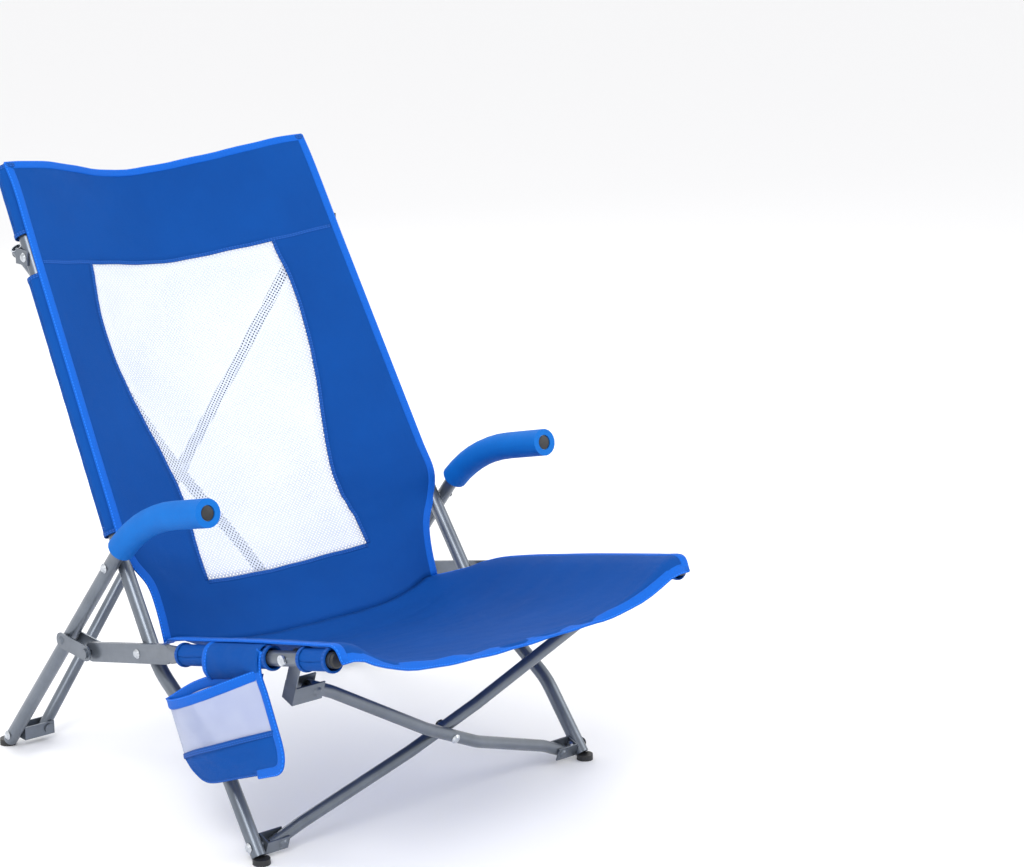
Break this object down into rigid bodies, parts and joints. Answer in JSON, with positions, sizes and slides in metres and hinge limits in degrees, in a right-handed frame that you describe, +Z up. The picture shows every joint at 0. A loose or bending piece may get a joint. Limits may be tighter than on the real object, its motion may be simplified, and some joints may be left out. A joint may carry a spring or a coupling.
{
  "type": "folding beach chair",
  "caption": "Low folding sling chair: steel tube frame with crossed folding tubes, foam armrests, mesh-panelled sling and a cup pocket.",
  "frame": {"origin": "middle of the overall box at floor level, the floor being the flat undersides of the four feet", "axes": "+Z up, the sitter faces -Y, +X is the sitter's left; the frame's mirror plane is at x = +0.0099 because the cup pocket widens the box on the right only"},
  "size_m": [0.6168, 0.8146, 0.7885],
  "materials": {
    "frame_steel": "satin powder coat",
    "rivet_steel": "zinc plated",
    "black_plastic": "fine grain",
    "grip_foam": "soft closed-cell foam",
    "sling_fabric": "coated polyester weave"
  },
  "bodies": {
    "right_post": {"post_R": "frame_steel", "front_foot_R": "black_plastic", "rivet_post_leg_R": "rivet_steel", "rivet_post_rail_R": "rivet_steel", "rivet_foot_R": "rivet_steel", "rivet_back_bracket_R": "rivet_steel", "back_sleeve_top_R": "sling_fabric", "back_sleeve_low_R": "sling_fabric", "back_sling": "sling_fabric"},
    "right_leg": {"leg_arm_R": "frame_steel", "grip_R": "grip_foam", "arm_plug_R": "black_plastic", "rear_foot_R": "black_plastic", "rivet_rear_foot_R": "rivet_steel"},
    "right_rail": {"seat_rail_R": "frame_steel", "rail_plug_R": "black_plastic", "seat_sleeve_mid_R": "sling_fabric", "seat_sleeve_front_R": "sling_fabric", "rivet_hanger_R": "rivet_steel", "seat_sling": "sling_fabric", "cup_pocket": "sling_fabric"},
    "right_link": {"link_R": "frame_steel"},
    "right_foot_bracket": {"foot_bracket_R": "frame_steel"},
    "right_hanger": {"rail_hanger_R": "frame_steel"},
    "right_back_bracket": {"back_bracket_R": "frame_steel"},
    "right_rear_bracket": {"rear_foot_bracket_R": "frame_steel"},
    "left_post": {"post_L": "frame_steel", "front_foot_L": "black_plastic", "rivet_post_leg_L": "rivet_steel", "rivet_post_rail_L": "rivet_steel", "rivet_foot_L": "rivet_steel", "rivet_back_bracket_L": "rivet_steel", "back_sleeve_top_L": "sling_fabric", "back_sleeve_low_L": "sling_fabric"},
    "left_leg": {"leg_arm_L": "frame_steel", "grip_L": "grip_foam", "arm_plug_L": "black_plastic", "rear_foot_L": "black_plastic", "rivet_rear_foot_L": "rivet_steel"},
    "left_rail": {"seat_rail_L": "frame_steel", "rail_plug_L": "black_plastic", "seat_sleeve_mid_L": "sling_fabric", "seat_sleeve_front_L": "sling_fabric", "rivet_hanger_L": "rivet_steel"},
    "left_link": {"link_L": "frame_steel"},
    "left_foot_bracket": {"foot_bracket_L": "frame_steel"},
    "left_hanger": {"rail_hanger_L": "frame_steel"},
    "left_back_bracket": {"back_bracket_L": "frame_steel"},
    "left_rear_bracket": {"rear_foot_bracket_L": "frame_steel"},
    "cross_front_a": {"cross_front_a": "frame_steel", "rivet_cross_front": "rivet_steel"},
    "cross_front_b": {"cross_front_b": "frame_steel"},
    "cross_rear_a": {"cross_rear_a": "frame_steel", "rivet_cross_rear": "rivet_steel"},
    "cross_rear_b": {"cross_rear_b": "frame_steel"}
  },
  "joints": [
    {"name": "right_foot_tilt", "type": "hinge", "parent": "right_post", "child": "right_foot_bracket", "pos_m": [-0.25534, -0.22179, 0.018], "axis": [1, 0, 0], "range_deg": [-34.13, 0]},
    {"name": "frame_fold", "type": "hinge", "parent": "right_foot_bracket", "child": "cross_front_a", "pos_m": [-0.22035, -0.22179, 0.018], "axis": [0, -0.9437, -0.3307], "range_deg": [0, 39.17], "deforming": ["back_sling", "seat_sling"]},
    {"name": "front_crossing", "type": "hinge", "parent": "cross_front_a", "child": "cross_front_b", "pos_m": [0.00993, -0.25651, 0.11708], "axis": [0, -0.9437, -0.3307], "range_deg": [-78.35, 0]},
    {"name": "left_foot_pin", "type": "hinge", "parent": "cross_front_b", "child": "left_foot_bracket", "pos_m": [0.24022, -0.22179, 0.018], "axis": [0, -0.9437, -0.3307], "range_deg": [0, 39.19]},
    {"name": "left_foot_tilt", "type": "hinge", "parent": "left_foot_bracket", "child": "left_post", "pos_m": [0.27521, -0.22179, 0.018], "axis": [1, 0, 0], "range_deg": [0, 34.13]},
    {"name": "left_hanger_pin", "type": "hinge", "parent": "cross_front_a", "child": "left_hanger", "pos_m": [0.24022, -0.29717, 0.23315], "axis": [0, -0.9437, -0.3307], "range_deg": [-39.19, 0]},
    {"name": "right_hanger_pin", "type": "hinge", "parent": "cross_front_b", "child": "right_hanger", "pos_m": [-0.22035, -0.29717, 0.23315], "axis": [0, -0.9437, -0.3307], "range_deg": [0, 39.19]},
    {"name": "right_rail_pivot", "type": "hinge", "parent": "right_post", "child": "right_rail", "pos_m": [-0.26826, 0.00046, 0.21], "axis": [1, 0, 0], "range_deg": [-61.02, 0]},
    {"name": "right_leg_pivot", "type": "hinge", "parent": "right_post", "child": "right_leg", "pos_m": [-0.26439, 0.06703, 0.3068], "axis": [1, 0, 0], "range_deg": [-41.62, 0]},
    {"name": "right_link_pivot", "type": "hinge", "parent": "right_leg", "child": "right_link", "pos_m": [-0.26913, 0.16708, 0.18828], "axis": [1, 0, 0], "range_deg": [0, 94.64]},
    {"name": "right_back_bracket_tilt", "type": "hinge", "parent": "right_post", "child": "right_back_bracket", "pos_m": [-0.22917, 0.28575, 0.6724], "axis": [1, 0, 0], "range_deg": [-18.86, 0]},
    {"name": "right_back_pin", "type": "hinge", "parent": "right_back_bracket", "child": "cross_rear_b", "pos_m": [-0.22917, 0.3137, 0.6724], "axis": [0, 1, 0], "range_deg": [0, 19.66]},
    {"name": "right_rear_bracket_tilt", "type": "hinge", "parent": "right_leg", "child": "right_rear_bracket", "pos_m": [-0.27592, 0.31025, 0.0187], "axis": [1, 0, 0], "range_deg": [0, 22.78]},
    {"name": "left_rail_pivot", "type": "hinge", "parent": "left_post", "child": "left_rail", "pos_m": [0.28813, 0.00046, 0.21], "axis": [1, 0, 0], "range_deg": [-61.02, 0]},
    {"name": "left_leg_pivot", "type": "hinge", "parent": "left_post", "child": "left_leg", "pos_m": [0.28426, 0.06703, 0.3068], "axis": [1, 0, 0], "range_deg": [-41.62, 0]},
    {"name": "left_link_pivot", "type": "hinge", "parent": "left_leg", "child": "left_link", "pos_m": [0.289, 0.16708, 0.18828], "axis": [1, 0, 0], "range_deg": [0, 94.64]},
    {"name": "left_back_bracket_tilt", "type": "hinge", "parent": "left_post", "child": "left_back_bracket", "pos_m": [0.24904, 0.28575, 0.6724], "axis": [1, 0, 0], "range_deg": [-18.86, 0]},
    {"name": "left_back_pin", "type": "hinge", "parent": "left_back_bracket", "child": "cross_rear_a", "pos_m": [0.24904, 0.3137, 0.6724], "axis": [0, 1, 0], "range_deg": [-19.66, 0]},
    {"name": "left_rear_bracket_tilt", "type": "hinge", "parent": "left_leg", "child": "left_rear_bracket", "pos_m": [0.29579, 0.31025, 0.0187], "axis": [1, 0, 0], "range_deg": [0, 22.78]}
  ],
  "couplings": [
    {"joint": "right_foot_tilt", "follows": "frame_fold", "ratio": -0.87104},
    {"joint": "front_crossing", "follows": "frame_fold", "ratio": -2},
    {"joint": "left_foot_pin", "follows": "frame_fold", "ratio": 1},
    {"joint": "left_foot_tilt", "follows": "frame_fold", "ratio": 0.87104},
    {"joint": "left_hanger_pin", "follows": "frame_fold", "ratio": -1},
    {"joint": "right_hanger_pin", "follows": "frame_fold", "ratio": 1},
    {"joint": "right_rail_pivot", "follows": "frame_fold", "ratio": -1.5575},
    {"joint": "right_leg_pivot", "follows": "frame_fold", "ratio": -1.0621},
    {"joint": "right_link_pivot", "follows": "frame_fold", "ratio": 2.4159},
    {"joint": "right_back_bracket_tilt", "follows": "frame_fold", "ratio": -0.48094},
    {"joint": "right_back_pin", "follows": "frame_fold", "ratio": 0.5014},
    {"joint": "right_rear_bracket_tilt", "follows": "frame_fold", "ratio": 0.58114},
    {"joint": "left_rail_pivot", "follows": "frame_fold", "ratio": -1.5575},
    {"joint": "left_leg_pivot", "follows": "frame_fold", "ratio": -1.0621},
    {"joint": "left_link_pivot", "follows": "frame_fold", "ratio": 2.4159},
    {"joint": "left_back_bracket_tilt", "follows": "frame_fold", "ratio": -0.48094},
    {"joint": "left_back_pin", "follows": "frame_fold", "ratio": -0.5014},
    {"joint": "left_rear_bracket_tilt", "follows": "frame_fold", "ratio": 0.58114}
  ]
}
